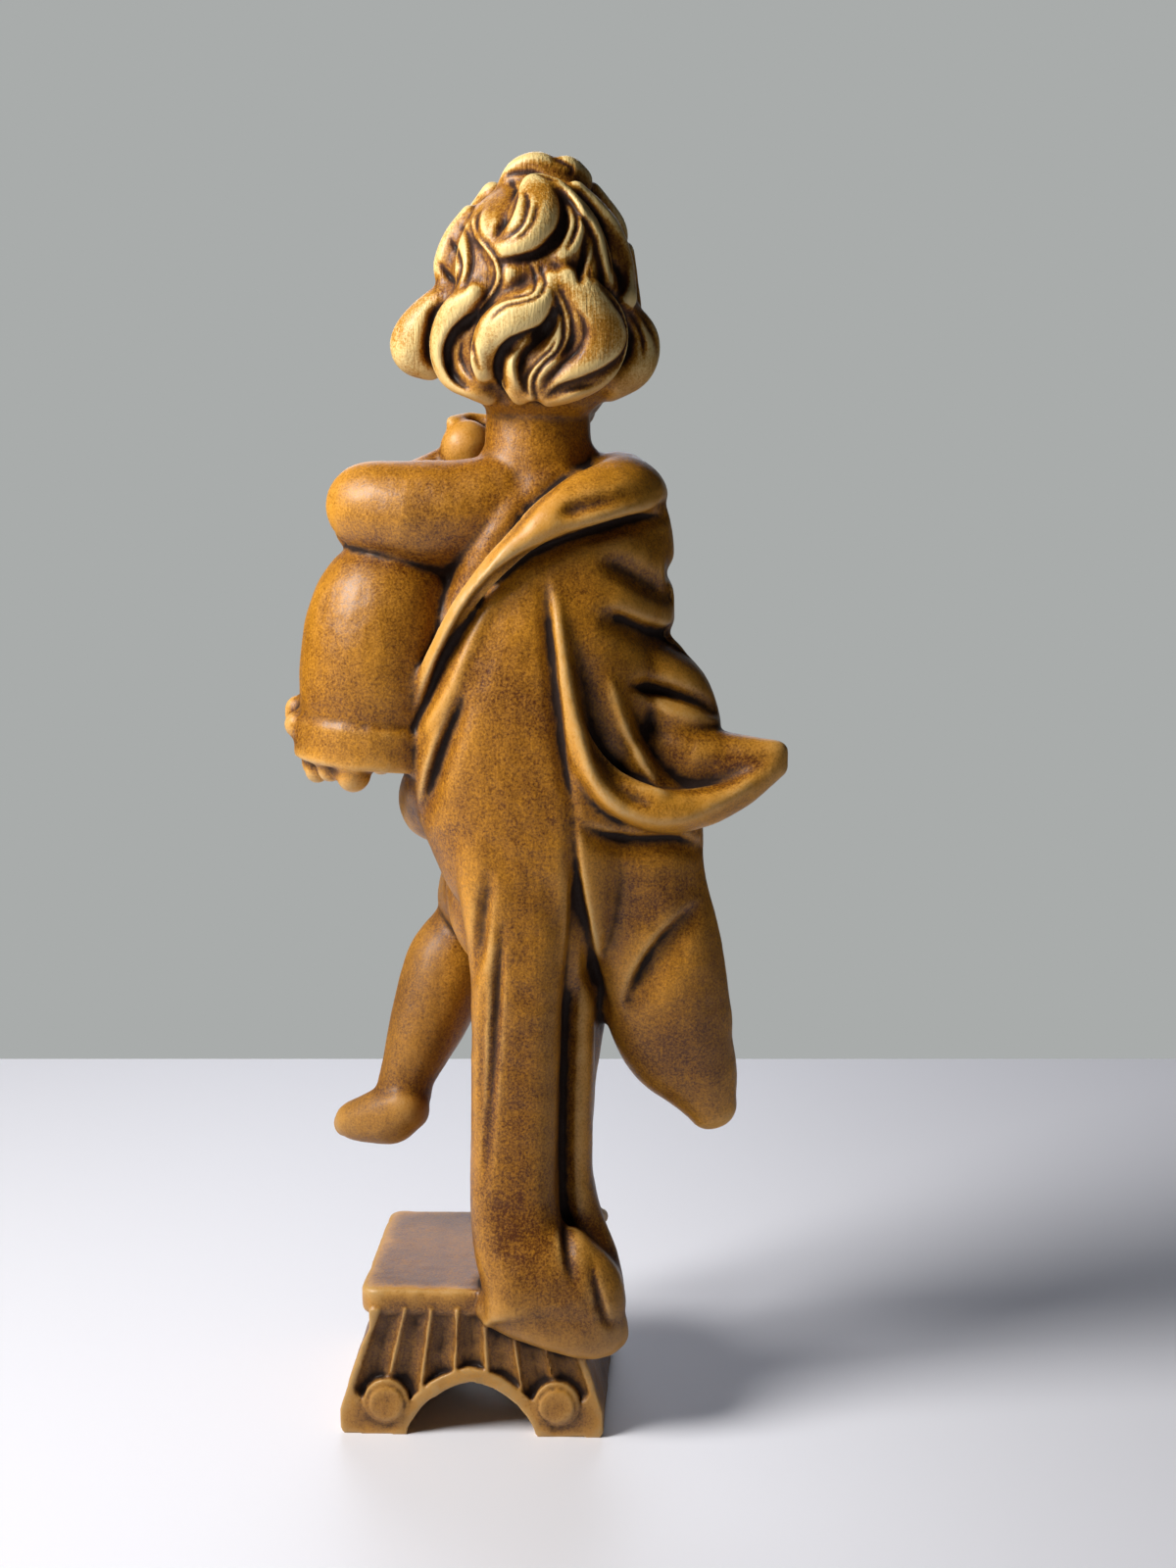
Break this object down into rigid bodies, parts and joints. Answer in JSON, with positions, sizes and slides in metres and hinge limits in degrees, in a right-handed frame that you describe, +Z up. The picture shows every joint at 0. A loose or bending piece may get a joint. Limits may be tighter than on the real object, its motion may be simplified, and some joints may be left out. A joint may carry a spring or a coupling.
{
  "type": "carved wooden figure",
  "caption": "Carved wooden putto, draped in a cloak and holding a domed vessel under its arm, standing on a slab over a fluted, arched capital.",
  "frame": {"origin": "on the surface that the plinth stands on, under the middle of the whole statue", "axes": "+Z up; the figure faces -Y and its back is +Y; +X is the figure's left"},
  "size_m": [0.16, 0.0982, 0.3999],
  "materials": {
    "stained_wood": "stained brown, hand-rubbed wax, satin"
  },
  "bodies": {
    "root": {"statue": "stained_wood"}
  },
  "joints": []
}
